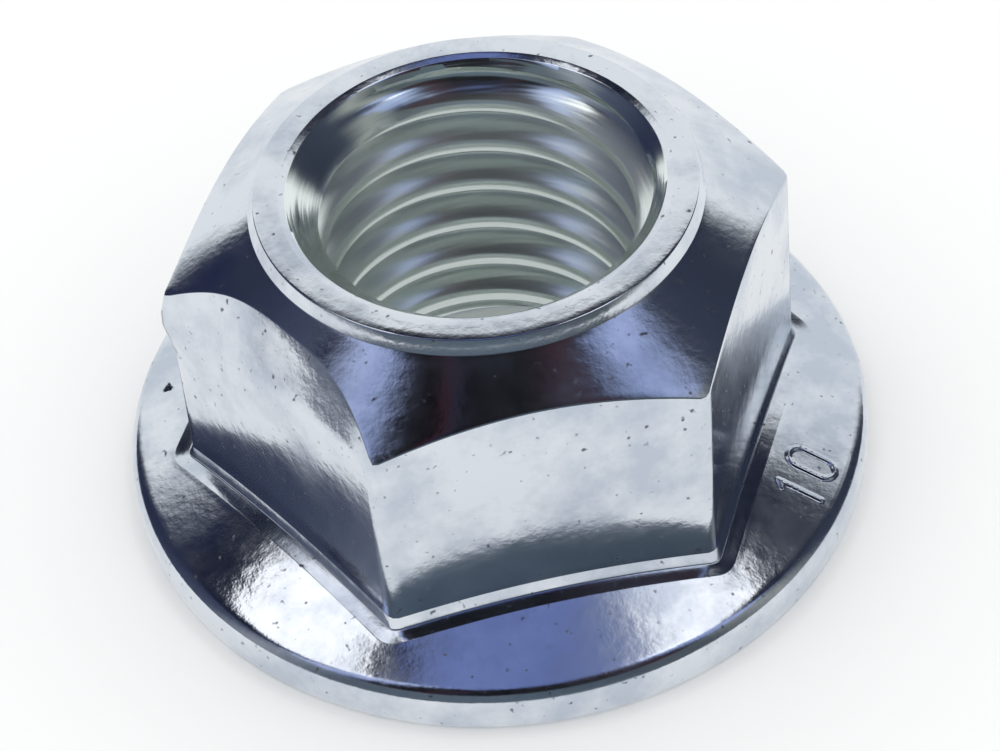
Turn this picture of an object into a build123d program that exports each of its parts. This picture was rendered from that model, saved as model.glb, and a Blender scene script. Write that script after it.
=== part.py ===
"""Serrated hexagon flange nut, M10 x 1.5, with the hole at its crest diameter.

One forged and tapped piece. Millimetres, +Z up along the thread axis, origin in the
middle of the bearing face, so the nut stands on z = 0.
"""
import math
import os

from build123d import *

# hole; the thread itself is fine and is not cut here
MINOR_D = 8.5             # crest diameter of the tapped hole
CHAMFER_D = 10.25         # mouth of the countersinks at both ends

# hexagon and crown
HEIGHT = 10.0             # bearing face to top ring
FLATS_TOP = 14.85         # across flats under the crown
DRAFT = 1.5               # degrees each flat leans inwards going up
CORNER_R = 0.35           # rounding of the upright corners
RING_D = 11.6             # outer edge of the flat top ring
RING_STEP = 0.38          # height of the ring above the crown
RING_EDGE_R = 0.14        # rounding on the ring's outer edge
CROWN_SLOPE = 30.0        # degrees from level

# flange
FLANGE_D = 21.5           # outer diameter
WALL_H = 0.82             # height of the upright edge
FOOT_R = 0.22             # rounding under the edge
RIM_R = 0.58              # rounding over the edge
FLANGE_SLOPE = 17.0       # degrees from level
BASE_FILLET = 0.5         # hexagon to flange

# serrations under the flange
TEETH = 24
TOOTH_DEPTH = 0.32
TOOTH_SHARE = 0.62        # share of the tooth pitch taken by the groove
TOOTH_INNER_R = 5.75
TOOTH_OUTER_R = 9.75

flange_r = FLANGE_D / 2
minor_r = MINOR_D / 2
ring_r = RING_D / 2
slope = math.tan(math.radians(FLANGE_SLOPE))
crown = math.tan(math.radians(CROWN_SLOPE))
rim_in = RIM_R * (1 - math.sin(math.radians(FLANGE_SLOPE)))
rim_up = RIM_R * math.cos(math.radians(FLANGE_SLOPE))
cone_r = flange_r - rim_in                 # where the rounding meets the cone
cone_z = WALL_H + rim_up
hub_z = cone_z + cone_r * slope            # tip of the flange cone on the axis
hex_foot = WALL_H                          # the hexagon starts inside the flange


def flange_profile():
    """Half section of the flange: foot, upright edge, rounded rim, cone."""
    with BuildSketch(Plane.XZ) as section:
        with BuildLine():
            Line((0, 0), (flange_r - FOOT_R, 0))
            JernArc((flange_r - FOOT_R, 0), (1, 0), FOOT_R, 90)
            Line((flange_r, FOOT_R), (flange_r, WALL_H))
            JernArc((flange_r, WALL_H), (0, 1), RIM_R, 90 - FLANGE_SLOPE)
            Line((cone_r, cone_z), (0, hub_z))
            Line((0, hub_z), (0, 0))
        make_face()
    return section.sketch


def hexagon_outline(z):
    """The hexagon at height z, corners rounded; it narrows upwards by the draft."""
    across = FLATS_TOP + 2 * (HEIGHT - z) * math.tan(math.radians(DRAFT))
    with BuildSketch(Plane.XY.offset(z)) as outline:
        RegularPolygon(across / 2, 6, major_radius=False)
        fillet(outline.vertices(), CORNER_R)
    return outline.sketch


def base_edges(solid):
    """Edges where the six sides meet the flange cone."""
    low, high = cone_z, cone_z + (cone_r - FLATS_TOP / 2) * slope + 0.2
    return [
        e for e in solid.edges()
        if low < e.center().Z < high
        and FLATS_TOP / 2 - 0.5 < math.hypot(e.center().X, e.center().Y) < cone_r - 0.05
        and abs((e @ 0).Z - (e @ 1).Z) < 0.5
    ]


def crown_profile():
    """What is turned away over the corners, leaving the raised ring."""
    foot_r = ring_r + 0.12
    foot_z = HEIGHT - RING_STEP
    far_z = foot_z - (flange_r - foot_r) * crown
    inner = ring_r - RING_EDGE_R
    with BuildSketch(Plane.XZ) as section:
        with BuildLine():
            Line((inner, HEIGHT + 1), (inner, HEIGHT))
            JernArc((inner, HEIGHT), (1, 0), RING_EDGE_R, -90)
            Line((ring_r, HEIGHT - RING_EDGE_R), (foot_r, foot_z))
            Polyline((foot_r, foot_z), (flange_r, far_z), (flange_r, HEIGHT + 1), (inner, HEIGHT + 1))
        make_face()
    return section.sketch


def mouth_profile(end, way):
    """Ninety degree countersink at one end of the hole."""
    mouth = CHAMFER_D / 2
    with BuildSketch(Plane.XZ) as section:
        with BuildLine():
            Polyline((0, end + way), (mouth + 1, end + way), (0, end - way * mouth), close=True)
        make_face()
    return section.sketch


def tooth_section(r):
    """Section of one radial groove at radius r: a steep side and a long ramp."""
    wide = r * math.radians(360 / TEETH * TOOTH_SHARE)
    with BuildSketch(Plane(origin=(r, 0, 0), x_dir=(0, 1, 0), z_dir=(1, 0, 0))) as section:
        with BuildLine():
            Polyline((0, -0.2), (0, TOOTH_DEPTH), (wide, 0), (wide, -0.2), close=True)
        make_face()
    return section.sketch


with BuildPart() as groove:
    loft([tooth_section(TOOTH_INNER_R), tooth_section(TOOTH_OUTER_R)])

with BuildPart() as nut:
    revolve(flange_profile(), axis=Axis.Z)
    loft([hexagon_outline(hex_foot), hexagon_outline(HEIGHT)], ruled=True)
    fillet(base_edges(nut), BASE_FILLET)
    revolve(crown_profile(), axis=Axis.Z, mode=Mode.SUBTRACT)
    revolve(mouth_profile(HEIGHT, 1), axis=Axis.Z, mode=Mode.SUBTRACT)
    revolve(mouth_profile(0, -1), axis=Axis.Z, mode=Mode.SUBTRACT)
    with PolarLocations(0, TEETH):
        add(groove.part, mode=Mode.SUBTRACT)
    with BuildSketch(Plane.XY.offset(-1)):
        Circle(minor_r)
    extrude(amount=HEIGHT + 2, mode=Mode.SUBTRACT)

nut.part.label = "flange_nut"
os.makedirs("parts", exist_ok=True)
export_step(nut.part, "parts/flange_nut.step")
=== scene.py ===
import math
import random

import bmesh
import bpy
from mathutils import Matrix, Vector
from mathutils.kdtree import KDTree


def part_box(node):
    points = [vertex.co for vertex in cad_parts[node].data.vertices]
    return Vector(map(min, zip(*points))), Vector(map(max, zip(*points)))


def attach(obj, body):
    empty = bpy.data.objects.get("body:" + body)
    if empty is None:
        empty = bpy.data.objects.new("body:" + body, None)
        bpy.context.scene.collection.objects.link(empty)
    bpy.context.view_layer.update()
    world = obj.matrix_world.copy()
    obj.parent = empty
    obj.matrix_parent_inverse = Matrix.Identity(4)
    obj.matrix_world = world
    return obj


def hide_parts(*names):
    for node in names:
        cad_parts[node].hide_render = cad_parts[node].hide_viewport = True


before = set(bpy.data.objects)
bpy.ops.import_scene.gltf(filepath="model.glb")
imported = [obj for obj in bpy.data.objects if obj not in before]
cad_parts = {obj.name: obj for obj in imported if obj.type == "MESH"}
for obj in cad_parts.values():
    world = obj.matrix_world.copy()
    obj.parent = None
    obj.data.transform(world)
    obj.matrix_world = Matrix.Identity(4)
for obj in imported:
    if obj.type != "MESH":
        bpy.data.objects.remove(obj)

# Serrated flange nut, M10 x 1.5, cold-forged steel, zinc plated. Sizes below are millimetres;
# the mesh is brought to metres in one step at the end of its making.
MM = 0.001
low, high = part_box("flange_nut")
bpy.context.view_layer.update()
FLANGE_R = high[0] / MM
HEIGHT = high[2] / MM

COLUMNS = 360             # steps round the nut

# hole and thread
MINOR_R = 4.25
MAJOR_R = 5.0
PITCH = 1.5
MOUTH_R = 5.125
MOUTH_ROUND = 0.05
THREAD_ROWS = 16          # rows in one turn
CREST_SHARE = 0.25        # of the pitch
ROOT_SHARE = 0.125
FIRST_CREST = 1.37        # height of a crest at CREST_AZ
CREST_AZ = 82.4
CREST_SOFT, ROOT_SOFT = 0.14, 0.10    # rounding of crests and roots, as shares of the depth

# top ring and crown
RING_R = 5.98
RING_STEP = 0.38
RING_SPREAD = 0.17        # how far its side leans out
RING_ROUND = 0.07
LIP, LIP_WIDE = 0.07, 0.18        # shallow bevel round the mouth
LIP_ROUND = 0.08
CROWN_SLOPE = 33.0
CROWN_ROUND = 0.10        # edge between crown and sides

# hexagon
APOTHEM_TOP = 7.48        # half the width across flats at the top
APOTHEM_FOOT = 7.735      # and at the crease above the foot
CORNER_ROUND = 0.35
EDGE_ROUND = 0.06         # small roundings of the foot and the ring
CREASE = 0.20             # its height over the flange cone
LEDGE_IN, LEDGE_DIP = 7.85, -0.10
LEDGE_OUT, LEDGE_LIP = 8.28, 0.004
FOOT_END = 8.38

# slanting press mark under the crown on one side, and the corner pushed out beside it
MARK_AZ, MARK_CUT = 210.0, 0.80
MARK_LOW, MARK_DROP = 7.80, 1.6
BULGE_AZ, BULGE_Z, BULGE_OUT = 180.5, 7.1, 0.24

# flange
WALL_TOP = 0.82
RIM_ROUND = 0.58
SOLE_ROUND = 0.22
FLANGE_SLOPE = 17.0

# plain figures on the flange, tops toward the axis, raised as outlines
FIGURE_AZ, FIGURE_R = 325.0, 9.45
FIGURE_LIFT, FIGURE_LINE = 0.045, 0.075
FIGURE_CUTS = 5

# the larger pits in the plating: azimuth, distance from the axis, height, radius
PITS = (
    (163, 9.7, 1.6, 0.16), (250, 8.2, 3.4, 0.15), (293, 10.1, 1.5, 0.12),   # a nick and the two largest
    (225, 9.2, 1.7, 0.10), (230, 9.1, 1.7, 0.07), (234, 9.5, 1.6, 0.09),    # a group on the flange
    (353, 6.8, 9.1, 0.10), (17, 7.0, 9.0, 0.10),                            # on the crown
    (266, 7.6, 7.4, 0.09), (278, 7.7, 6.9, 0.08),                           # on one side
)
PIT_DEPTH = 0.45          # of its radius
LOOSE_PITS = 56
PIT_CUTS = 3

# serrations
TEETH = 24
TOOTH_DEPTH = 0.32
TOOTH_SHARE = 0.62
TOOTH_IN, TOOTH_OUT = 5.75, 9.75

slope = math.tan(math.radians(FLANGE_SLOPE))
crown_fall = math.tan(math.radians(CROWN_SLOPE))
cone_r = FLANGE_R - RIM_ROUND * (1 - math.sin(math.radians(FLANGE_SLOPE)))
cone_z = WALL_TOP + RIM_ROUND * math.cos(math.radians(FLANGE_SLOPE))


def mix(a, b, t):
    return a + (b - a) * t


def smooth(low, high, value):
    """0 below low, 1 above high, an even S between."""
    t = min(max((value - low) / (high - low), 0.0), 1.0)
    return t * t * (3 - 2 * t)


def soften(corners):
    """Half section through corners (r, z, rounding, arc steps, steps to the next corner)."""
    points = []
    for i, (r, z, rounding, arc_steps, run_steps) in enumerate(corners):
        here = Vector((r, z))
        ends = [here]
        if rounding:
            before = Vector(corners[i - 1][:2]) - here
            after = Vector(corners[i + 1][:2]) - here
            turn = math.pi - before.angle(after)
            reach = min(rounding * math.tan(turn / 2), 0.45 * before.length, 0.45 * after.length)
            start, end = here + before.normalized() * reach, here + after.normalized() * reach
            ends = []
            for k in range(arc_steps + 1):
                t = k / arc_steps
                ends.append(start * (1 - t) ** 2 + here * 2 * t * (1 - t) + end * t ** 2)
        if points:
            last = points[-1]
            for k in range(1, steps_before):
                points.append(last.lerp(ends[0], k / steps_before))
        points += ends
        steps_before = run_steps
    return points


def cone_height(r):
    return cone_z + (cone_r - r) * slope


def hexagon_radius(angle, apothem, rounding):
    """Distance from the axis to a rounded hexagon; corners at 0, 60, ..., degrees."""
    off = abs((angle + 30) % 60 - 30)
    centre = (apothem - rounding) / math.cos(math.radians(30))
    tangent = math.degrees(math.atan2(rounding * 0.5, centre + rounding * math.cos(math.radians(30))))
    if off < tangent:
        a = math.radians(off)
        return centre * math.cos(a) + math.sqrt(rounding ** 2 - (centre * math.sin(a)) ** 2)
    return apothem / math.cos(math.radians(30 - off))


def apothem_at(z):
    foot = cone_height(APOTHEM_FOOT) + CREASE
    return mix(APOTHEM_FOOT, APOTHEM_TOP, (z - foot) / (HEIGHT - foot))


def tooth_lift(angle):
    """Depth of the serrations: a steep side, then a long ramp."""
    turn = (angle * TEETH / 360) % 1.0
    return TOOTH_DEPTH * max(0.0, 1 - turn / TOOTH_SHARE)


def mark_share(angle):
    """1 in the middle of the marked side, 0 at its corners."""
    off = abs(angle - MARK_AZ) / 30
    return 1 - off ** 5 if off < 1 else 0.0


def outer_section(angle):
    """Half section of the outside at one azimuth, from the top mouth round to the bottom one."""
    edge_z = HEIGHT - 1.6
    foot_r, foot_z = RING_R + RING_SPREAD, HEIGHT - RING_STEP
    for _ in range(6):
        edge_r = hexagon_radius(angle, apothem_at(edge_z), CORNER_ROUND)
        edge_z = foot_z - (edge_r - foot_r) * crown_fall
    cut = MARK_CUT * mark_share(angle)
    crown_r = edge_r - cut
    crown_z = foot_z - (crown_r - foot_r) * crown_fall
    side_z = edge_z - 0.6
    if cut:
        mark_z = MARK_LOW - MARK_DROP * (1 - smooth(180, 204, angle))
        side_z = mix(side_z, min(mark_z, edge_z - 0.1), smooth(0, 0.3, cut / MARK_CUT))
    side_r = hexagon_radius(angle, apothem_at(side_z), CORNER_ROUND)
    crease_r = hexagon_radius(angle, APOTHEM_FOOT, CORNER_ROUND)
    ledge_r = hexagon_radius(angle, LEDGE_IN, CORNER_ROUND)
    lip_r = hexagon_radius(angle, LEDGE_OUT, 2 * CORNER_ROUND)
    end_r = hexagon_radius(angle, FOOT_END, 2.5 * CORNER_ROUND)
    lift = tooth_lift(angle)
    points = soften([
        (MOUTH_R, HEIGHT - LIP, 0, 0, 1),
        (MOUTH_R + 0.02, HEIGHT - LIP * (1 - 0.02 / LIP_WIDE), 0, 0, 2),
        (MOUTH_R + LIP_WIDE, HEIGHT, LIP_ROUND, 3, 3),
        (RING_R, HEIGHT, RING_ROUND, 4, 2),
        (foot_r, foot_z, EDGE_ROUND, 3, 12),
        (crown_r, crown_z, CROWN_ROUND, 4, 5),
        (side_r, side_z, 0.25, 3, 13),
        (crease_r, cone_height(crease_r) + CREASE, EDGE_ROUND, 3, 2),
        (ledge_r, cone_height(ledge_r) + LEDGE_DIP, EDGE_ROUND, 4, 2),
        (lip_r, cone_height(lip_r) + LEDGE_LIP, 0.12, 3, 1),
        (end_r, cone_height(end_r), 0, 0, 12),
        (FLANGE_R, cone_height(FLANGE_R), RIM_ROUND, 8, 2),
        (FLANGE_R, 0, SOLE_ROUND, 4, 1),
        (TOOTH_OUT + 0.06, 0, 0, 0, 1),
        (TOOTH_OUT, lift, 0, 0, 6),
        (TOOTH_IN, lift, 0, 0, 1),
        (TOOTH_IN - 0.06, 0, 0, 0, 1),
        (MOUTH_R + MOUTH_ROUND, 0, 0, 0, 1),
        (MOUTH_R, MOUTH_ROUND, 0, 0, 0),
    ])
    off = math.radians(angle - BULGE_AZ) * 8.6
    for p in points:
        if 5.6 < p.y < 8.6 and p.x > 7.5:
            p.x += BULGE_OUT * math.exp(-(off / 0.9) ** 2 - ((p.y - BULGE_Z) / 0.75) ** 2)
    return points


def thread_radius(angle, z):
    """Wall of the hole: the right-hand groove, opened by the countersinks."""
    turn = ((z - FIRST_CREST) / PITCH - (angle - CREST_AZ) / 360 + 0.5) % 1.0 - 0.5
    flank = 0.5 - CREST_SHARE / 2 - ROOT_SHARE / 2
    depth = (abs(turn) - CREST_SHARE / 2) / flank
    depth = (depth + math.hypot(depth, CREST_SOFT)) / 2
    depth = 1 - (1 - depth + math.hypot(1 - depth, ROOT_SOFT)) / 2
    groove = mix(MINOR_R, MAJOR_R, depth)
    mouth = MOUTH_R - min(HEIGHT - LIP - z, z - MOUTH_ROUND)
    return max(groove, mouth)


def flat_grid(columns, rows):
    """A flat grid whose vertices stand at whole numbers: x the column, y the row."""
    bm = bmesh.new()
    bmesh.ops.create_grid(bm, x_segments=columns, y_segments=rows, size=0.5)
    for v in bm.verts:
        v.co = (round((v.co.x + 0.5) * columns), round((v.co.y + 0.5) * rows), 0)
    return bm


def to_line(p, a, b):
    """Distance from a point to the line between two others."""
    along = b - a
    t = min(max((p - a).dot(along) / along.length_squared, 0.0), 1.0)
    return (p - a - along * t).length


def from_figures(p):
    """Distance from the outlines of the figures; p is right and up, in mm."""
    one = to_line(p, Vector((-0.60, -0.62)), Vector((-0.60, 0.62)))
    flag = to_line(p, Vector((-0.60, 0.62)), Vector((-0.78, 0.46)))
    nought = abs(to_line(p, Vector((0.45, -0.34)), Vector((0.45, 0.34))) - 0.33)
    return min(one, flag, nought)


def new_verts(made):
    """The vertices that a subdivision made."""
    return {g for g in made["geom_inner"] if isinstance(g, bmesh.types.BMVert)}


def raise_figures(bm):
    """Cut the flange finer under the figures and lift their outlines."""
    out = Vector((math.cos(math.radians(FIGURE_AZ)), math.sin(math.radians(FIGURE_AZ)), 0))
    right = Vector((-out.y, out.x, 0))

    def place(co):
        return Vector((co.dot(right), FIGURE_R - co.dot(out)))

    def near(v):
        p = place(v.co)
        return abs(p.x) < 1.45 and abs(p.y) < 1.0 and v.co.z > 1.2

    patch = {v for v in bm.verts if near(v)}
    edges = [e for e in bm.edges if e.verts[0] in patch and e.verts[1] in patch]
    made = bmesh.ops.subdivide_edges(bm, edges=edges, cuts=FIGURE_CUTS, use_grid_fill=True)
    patch = {v for v in patch if v.is_valid} | new_verts(made)
    for v in patch:
        away = from_figures(place(v.co)) / FIGURE_LINE
        v.co.z += FIGURE_LIFT * (1 - smooth(0.3, 1.3, away))


def sink_pits(bm):
    """Cut the skin finer round the pits, push their middles in and mark how deep each is, for the
    painted shade in them.
    """
    depth_layer = bm.verts.layers.float.new("pit_shade")
    bm.normal_update()
    skin = [v for v in bm.verts if v.co.to_2d().length > MOUTH_R + 0.1 and v.co.z > 0.3]
    tree = KDTree(len(skin))
    for i, v in enumerate(skin):
        tree.insert(v.co, i)
    tree.balance()
    chance = random.Random(11)
    pits = []
    for az, r, z, radius in PITS:
        a = math.radians(az)
        pits.append((tree.find(Vector((r * math.cos(a), r * math.sin(a), z)))[0], radius))
    for _ in range(LOOSE_PITS):
        pits.append((chance.choice(skin).co, chance.uniform(0.03, 0.06)))
    for middle, radius in [(Vector(m), r) for m, r in pits]:
        reach = max(0.28, 1.7 * radius)
        ring = {skin[i] for _, i, _ in tree.find_range(middle, reach) if skin[i].is_valid}
        normal = sum((v.normal for v in ring), Vector()).normalized()
        edges = {e for v in ring for e in v.link_edges}
        edges = [e for e in edges if e.verts[0] in ring and e.verts[1] in ring]
        made = bmesh.ops.subdivide_edges(bm, edges=edges, cuts=PIT_CUTS, use_grid_fill=True)
        ring = {v for v in ring if v.is_valid} | new_verts(made)
        lean = chance.uniform(0, math.tau)
        for v in ring:
            offset = v.co - middle
            ragged = 1 + 0.3 * math.sin(3 * math.atan2(offset.y, offset.x) + lean)
            share = offset.length / (radius * ragged)
            if share < 1:
                deep = (1 - share ** 2) ** 2
                v.co -= normal * PIT_DEPTH * radius * deep
                v[depth_layer] = max(v[depth_layer], deep)


def nut_mesh():
    """Outside and threaded hole as two grids bent round the axis and joined at both mouths."""
    sections = []
    for column in range(COLUMNS):
        angle = column * 360 / COLUMNS
        sections.append(outer_section(angle))
    bm = flat_grid(COLUMNS, len(sections[0]) - 1)
    for v in bm.verts:
        column, row = int(v.co.x), int(v.co.y)
        r, z = sections[column % COLUMNS][row]
        a = math.radians((column % COLUMNS) * 360 / COLUMNS)
        v.co = (r * math.cos(a), r * math.sin(a), z)
    outside = bpy.data.meshes.new("outside")
    bm.to_mesh(outside)
    bm.free()

    bottom, top = MOUTH_ROUND, HEIGHT - LIP
    turns = math.ceil((top - bottom) / PITCH) + 2
    bm = flat_grid(COLUMNS, turns * THREAD_ROWS)
    for v in bm.verts:
        angle = v.co.x * 360 / COLUMNS
        z = (v.co.y / THREAD_ROWS - 1 + angle / 360) * PITCH + FIRST_CREST - PITCH
        z = min(max(z, bottom), top)
        r = thread_radius(angle, z)
        a = math.radians(angle % 360)
        v.co = (r * math.cos(a), r * math.sin(a), z)
    for face in bm.faces:
        face.material_index = 1
    bm.from_mesh(outside)
    bpy.data.meshes.remove(outside)
    bmesh.ops.remove_doubles(bm, verts=bm.verts, dist=0.002)
    bmesh.ops.recalc_face_normals(bm, faces=bm.faces)
    raise_figures(bm)
    sink_pits(bm)
    bmesh.ops.scale(bm, vec=(MM, MM, MM), verts=bm.verts)
    return bm


def new_piece(name, bm):
    mesh = bpy.data.meshes.new(name)
    bm.to_mesh(mesh)
    bm.free()
    mesh.shade_smooth()
    mesh.set_sharp_from_angle(angle=math.radians(35))
    piece = bpy.data.objects.new(name, mesh)
    bpy.context.scene.collection.objects.link(piece)
    return piece


# ---- materials ----

def colour(hex_code):
    """sRGB hex to linear RGBA."""
    parts = [int(hex_code[i:i + 2], 16) / 255 for i in (1, 3, 5)]
    return tuple(c / 12.92 if c <= 0.04045 else ((c + 0.055) / 1.055) ** 2.4 for c in parts) + (1.0,)


def add(tree, kind, links=(), **settings):
    """One node, its settings by name, its links as (socket, source)."""
    node = tree.nodes.new("ShaderNode" + kind)
    for name, value in settings.items():
        setattr(node, name, value)
    for socket, source in dict(links).items():
        if hasattr(source, "is_output"):
            tree.links.new(source, node.inputs[socket])
        else:
            node.inputs[socket].default_value = source
    return node


def new_material(name):
    material = bpy.data.materials.new(name)
    material.use_nodes = True
    material.node_tree.nodes.clear()
    return material, material.node_tree


def noise(tree, place, per_metre, detail, roughness=0.5):
    """Noise with this many features to the metre."""
    return add(tree, "TexNoise", {
        "Vector": place, "Scale": per_metre, "Detail": detail, "Roughness": roughness,
    }).outputs[0]


def zinc_plated_steel():
    """Bright zinc plating on forged steel, blue-white passivated, with dull clouds and dark specks, and
    painted shade in the pits by their depth.
    """
    material, tree = new_material("zinc_plated_steel")
    place = add(tree, "TexCoord").outputs["Object"]
    clouds = noise(tree, place, 330, 5, 0.65)
    grain = noise(tree, place, 1900, 3, 0.6)
    waves = noise(tree, place, 220, 2)
    specks = noise(tree, place, 4200, 1)
    specks = add(tree, "MapRange", {"Value": specks, 1: 0.70, 2: 0.80}).outputs[0]
    # painted shade in the pits: their colour darkens with their depth, darkest at the bottom
    pit_shade = add(tree, "Attribute", attribute_name="pit_shade").outputs["Fac"]
    pit_shade = add(tree, "MapRange", {"Value": pit_shade, 1: 0.02, 2: 0.35}).outputs[0]
    cloudy = add(tree, "MapRange", {"Value": clouds, 1: 0.42, 2: 0.62}).outputs[0]
    pale, dull = colour("#DEE2E9"), colour("#C2CAD6")
    tint = add(tree, "MixRGB", {"Fac": cloudy, "Color1": pale, "Color2": dull}).outputs[0]
    # dark specks are the plating's own colour; the pits add painted shade in the same dark colour, and
    # both roughen
    dark = add(tree, "Math", {0: specks, 1: 0.8}, operation="MULTIPLY").outputs[0]
    dark = add(tree, "Math", {0: dark, 1: pit_shade}, operation="MAXIMUM").outputs[0]
    tint = add(tree, "MixRGB", {"Fac": dark, "Color1": tint, "Color2": colour("#3C4450")}).outputs[0]
    rough = add(tree, "MapRange", {"Value": clouds, 1: 0.35, 2: 0.65, "To Min": 0.09, "To Max": 0.20})
    rough = rough.outputs[0]
    rough = add(tree, "Math", {0: dark, 1: 0.3, 2: rough}, operation="MULTIPLY_ADD").outputs[0]
    bump = add(tree, "Bump", {"Height": waves, "Strength": 0.3, "Distance": 0.05 * MM}).outputs[0]
    bump = add(tree, "Bump", {"Height": grain, "Strength": 0.6, "Distance": 0.012 * MM, "Normal": bump})
    shader = add(tree, "BsdfPrincipled", {
        "Base Color": tint, "Metallic": 1.0, "Roughness": rough, "Normal": bump.outputs[0],
    })
    add(tree, "OutputMaterial", {"Surface": shader.outputs[0]})
    return material


FLOOR_GLOW = 0.55         # share of the lit table that the plating mirrors


def studio_floor():
    """White table lit from below, as the plating mirrors it."""
    material, tree = new_material("white_table")
    shader = add(tree, "BsdfPrincipled", {"Base Color": colour("#FBFCFC"), "Roughness": 0.9}).outputs[0]
    glow = add(tree, "Emission", {"Color": colour("#F4F7F8"), "Strength": 1.0}).outputs[0]
    glossy = add(tree, "LightPath").outputs["Is Glossy Ray"]
    share = add(tree, "Math", {0: glossy, 1: FLOOR_GLOW}, operation="MULTIPLY").outputs[0]
    seen = add(tree, "MixShader", {0: share, 1: shader, 2: glow})
    add(tree, "OutputMaterial", {"Surface": seen.outputs[0]})
    return material


SINK_LOW, SINK_HIGH = 1.15, 0.75      # depths between which the countersink's finish gives way


def tapped_zinc_painted_light():
    """The same plating in the hole, its colours painted lighter than outside to light the dim hole:
    bright in the countersink, duller over the cut thread.
    """
    material, tree = new_material("zinc_plated_thread_painted_light")
    place = add(tree, "TexCoord").outputs["Object"]
    height = add(tree, "SeparateXYZ", {0: place}).outputs["Z"]
    bright = add(tree, "MapRange", {
        "Value": height, 1: (HEIGHT - SINK_LOW) * MM, 2: (HEIGHT - SINK_HIGH) * MM,
    }).outputs[0]
    turning = add(tree, "Mapping", {"Vector": place, "Scale": (120, 120, 2600)}).outputs[0]
    lines = noise(tree, turning, 1.0, 3)
    # painted light: both colours are lighter than the outer plating to brighten the dim hole; the green
    # tint is the passivation's own
    painted_light_green, pale = colour("#DCE6E2"), colour("#F8FCFA")
    tint = add(tree, "MixRGB", {"Fac": lines, "Color1": painted_light_green, "Color2": pale}).outputs[0]
    metallic = add(tree, "MapRange", {"Value": bright, "To Min": 0.84, "To Max": 1.0}).outputs[0]
    rough = add(tree, "MapRange", {"Value": bright, "To Min": 0.25, "To Max": 0.15}).outputs[0]
    bump = add(tree, "Bump", {"Height": lines, "Strength": 0.5, "Distance": 0.06 * MM}).outputs[0]
    shader = add(tree, "BsdfPrincipled", {
        "Base Color": tint, "Metallic": metallic, "Roughness": rough, "Normal": bump,
    })
    add(tree, "OutputMaterial", {"Surface": shader.outputs[0]})
    return material


# ---- the nut ----
nut = new_piece("flange_nut_zinc", nut_mesh())
nut.data.materials.append(zinc_plated_steel())
nut.data.materials.append(tapped_zinc_painted_light())
even = nut.modifiers.new("even_shading", "WEIGHTED_NORMAL")
even.keep_sharp = True
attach(nut, "root")
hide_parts("flange_nut")

# ---- stage ----
CAMERA_AZ = math.radians(-97.64)
EYE = Vector((-6.658, -49.66, 55.15)) * MM
AIM = Vector((1.738, 0.72, 0.91)) * MM
LEAN = math.radians(-4.5)
FOCAL_PX = 2519
FRAME_W = 1000
FLOOR_GAP = 0.02          # keeps the table clear of the teeth

bm = bmesh.new()
bmesh.ops.create_circle(bm, cap_ends=True, radius=2.0, segments=64)
bmesh.ops.translate(bm, vec=(0, 0, -FLOOR_GAP * MM), verts=bm.verts)
floor = new_piece("floor", bm)
floor.data.materials.append(studio_floor())

camera_data = bpy.data.cameras.new("camera")
camera = bpy.data.objects.new("camera", camera_data)
bpy.context.scene.collection.objects.link(camera)
camera_data.sensor_width = 36
camera_data.lens = FOCAL_PX / FRAME_W * 36
camera_data.shift_x = -0.051
camera_data.shift_y = 0.0048
camera_data.clip_start = 0.005
turn = (AIM - EYE).to_track_quat("-Z", "Y").to_matrix() @ Matrix.Rotation(LEAN, 3, "Z")
camera.matrix_world = Matrix.Translation(EYE) @ turn.to_4x4()
bpy.context.scene.camera = camera


def softbox(name, turn_from_camera, elevation, width, depth, radiance, distance=0.5):
    """A soft box at an angle from the camera's side, facing the nut."""
    light = bpy.data.lights.new(name, "AREA")
    light.shape = "RECTANGLE"
    light.size, light.size_y = width, depth
    light.energy = radiance * math.pi * width * depth
    az, el = CAMERA_AZ + math.radians(turn_from_camera), math.radians(elevation)
    way = Vector((math.cos(az) * math.cos(el), math.sin(az) * math.cos(el), math.sin(el)))
    lamp = bpy.data.objects.new(name, light)
    bpy.context.scene.collection.objects.link(lamp)
    facing = way.to_track_quat("Z", "Y").to_matrix().to_4x4()
    lamp.matrix_world = Matrix.Translation(way * distance) @ facing
    return lamp


softbox("left_softbox", -106, 64, 0.19, 0.14, 1.4)
softbox("right_softbox", 101, 69, 0.17, 0.12, 1.4)


def ramp(tree, value, stops):
    """A colour ramp from (place, hex colour) stops."""
    node = add(tree, "ValToRGB", {"Fac": value})
    elements = node.color_ramp.elements
    while len(elements) < len(stops):
        elements.new(0.5)
    for element, (place, hex_code) in zip(elements, stops):
        element.position, element.color = place, colour(hex_code)
    return node.outputs["Color"]


PALE_WALL = "#F6F9FA"


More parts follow.
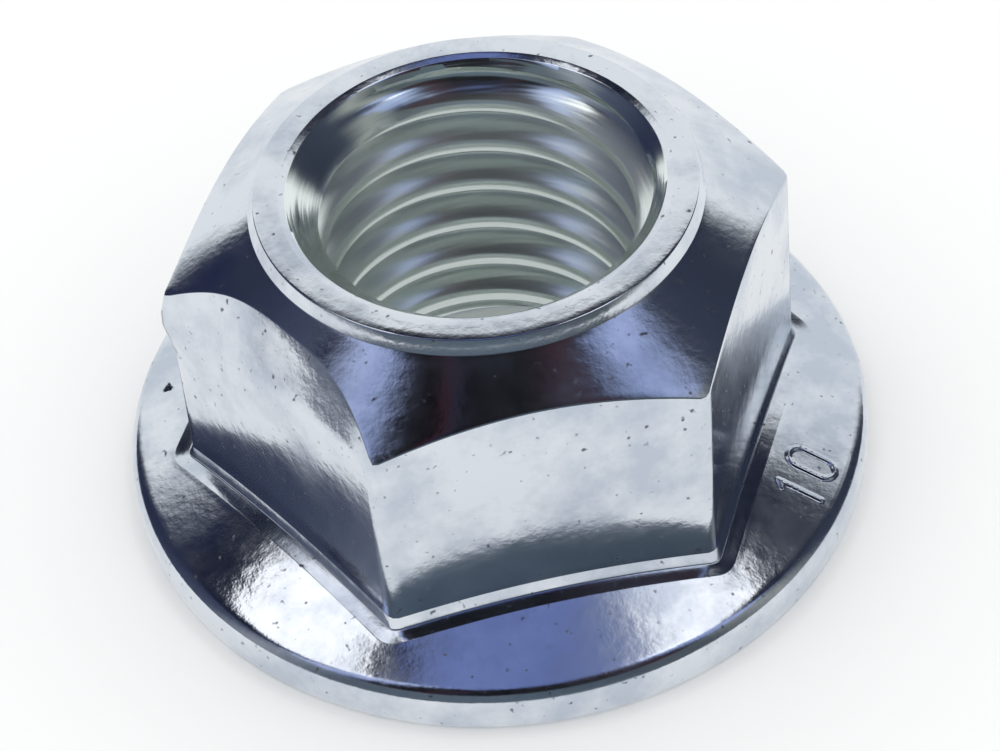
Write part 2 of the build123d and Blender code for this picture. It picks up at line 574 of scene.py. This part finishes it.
def studio_world():
    """Pale wall behind the nut, dark room round the camera, deep blue overhead."""
    world = bpy.data.worlds.new("studio")
    world.use_nodes = True
    tree = world.node_tree
    tree.nodes.clear()
    way = add(tree, "TexCoord").outputs["Generated"]
    height = add(tree, "SeparateXYZ", {0: way}).outputs["Z"]
    toward = Vector((math.cos(CAMERA_AZ), math.sin(CAMERA_AZ), 0))
    aside = Vector((-toward.y, toward.x, 0))
    ahead = add(tree, "VectorMath", {0: way, 1: toward}, operation="DOT_PRODUCT").outputs["Value"]
    across = add(tree, "VectorMath", {0: way, 1: aside}, operation="DOT_PRODUCT").outputs["Value"]
    turn = add(tree, "Math", {0: across, 1: ahead}, operation="ARCTAN2").outputs[0]
    # 0 and 1 are behind the nut, 0.5 is toward the camera
    turn = add(tree, "MapRange", {0: turn, 1: -math.pi, 2: math.pi}).outputs[0]
    low_room = ramp(tree, turn, [
        (0.00, PALE_WALL), (0.118, PALE_WALL), (0.128, "#1E2642"), (0.17, "#262E48"), (0.25, "#485066"),
        (0.30, "#989EA8"), (0.36, "#5C6672"), (0.50, "#5C6A76"), (0.64, "#50585E"), (0.70, "#9EA2A0"),
        (0.75, "#363E50"), (0.84, "#262E40"), (0.86, PALE_WALL), (1.00, PALE_WALL),
    ])
    high_room = ramp(tree, turn, [
        (0.00, "#0C1228"), (0.265, "#141C34"), (0.29, "#C4D0F6"), (0.325, "#AEBCE8"),
        (0.35, "#04060E"), (0.405, "#0C0810"),
        (0.415, "#3A1A24"), (0.43, "#22283A"), (0.45, "#04060E"), (0.55, "#04060E"), (0.60, "#2A1A26"),
        (0.625, "#40242A"), (0.65, "#0A0C1C"), (0.69, "#A6B6E2"), (0.72, "#B2C0EA"),
        (0.745, "#141C34"), (1.00, "#0C1228"),
    ])
    rise = add(tree, "MapRange", {0: height, 1: 0.70, 2: 0.76}, interpolation_type="SMOOTHSTEP")
    room = add(tree, "MixRGB", {"Fac": rise.outputs[0], "Color1": low_room, "Color2": high_room})
    zenith = add(tree, "MapRange", {0: height, 1: 0.965, 2: 0.985}, interpolation_type="SMOOTHSTEP")
    seen = add(tree, "MixRGB", {
        "Fac": zenith.outputs[0], "Color1": room.outputs[0], "Color2": colour("#7282BA"),
    }).outputs[0]
    path = add(tree, "LightPath")
    white = (1, 1, 1, 1)
    glossy = add(tree, "MixRGB", {"Fac": path.outputs["Is Glossy Ray"], "Color1": white, "Color2": seen})
    shown = add(tree, "MixRGB", {
        "Fac": path.outputs["Is Camera Ray"], "Color1": glossy.outputs[0], "Color2": white,
    })
    back = add(tree, "Background", {"Color": shown.outputs[0], "Strength": 1.0})
    add(tree, "OutputWorld", {"Surface": back.outputs[0]})
    bpy.context.scene.world = world


studio_world()

bpy.context.scene.view_settings.view_transform = "Standard"
